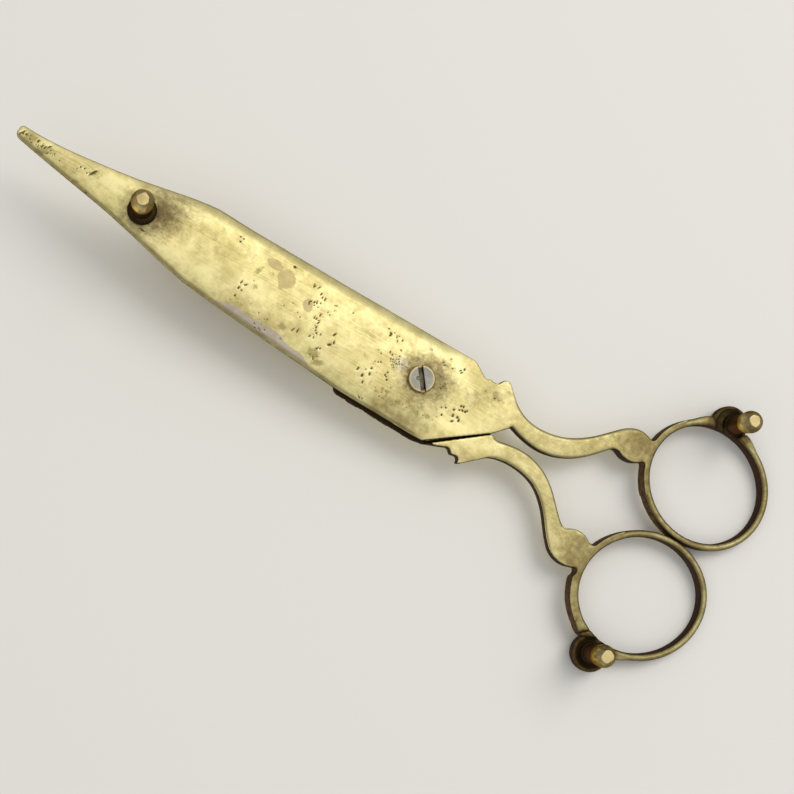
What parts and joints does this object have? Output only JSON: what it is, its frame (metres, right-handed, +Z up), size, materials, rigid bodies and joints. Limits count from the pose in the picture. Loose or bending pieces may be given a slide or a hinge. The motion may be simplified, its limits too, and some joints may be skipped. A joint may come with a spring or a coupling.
{
  "type": "candle wick trimmer",
  "caption": "Scissor-action wick trimmer: a pointed plate carries a lidded box, a crossed cutter lever with an upright press plate closes it, and both end in finger rings on turned feet.",
  "frame": {"origin": "centre of the bounding box in X and Y, on the plane the three feet stand on", "axes": "+X towards the pointed tip, +Z up from the feet to the lid of the box, +Y towards the base lever's finger ring"},
  "size_m": [0.1698, 0.0636, 0.0284],
  "materials": {
    "worn_brass": "worn, brushed, pitted, tarnished in the corners",
    "box_brass": "bent sheet, softly polished, darkened by soot inside",
    "dark_brass": "turned, dark patina, bright where worn",
    "solder": "dull grey soft solder",
    "screw_steel": "blue-grey, lightly pitted"
  },
  "bodies": {
    "base": {"base_lever": "worn_brass", "wick_box_wall": "box_brass", "wick_box_lid": "box_brass", "box_solder": "solder", "front_foot": "dark_brass", "base_ring_foot": "dark_brass", "pivot_screw": "screw_steel", "pivot_washer": "dark_brass", "pivot_nut": "dark_brass"},
    "press": {"press_lever": "worn_brass", "press_plate": "box_brass", "press_plate_rivets": "box_brass", "press_ring_foot": "dark_brass"}
  },
  "joints": [
    {"name": "lever_pivot", "type": "hinge", "parent": "base", "child": "press", "pos_m": [-0.00888, 0.0017, 0.015], "axis": [0, 0, 1], "range_deg": [0, 45]}
  ]
}
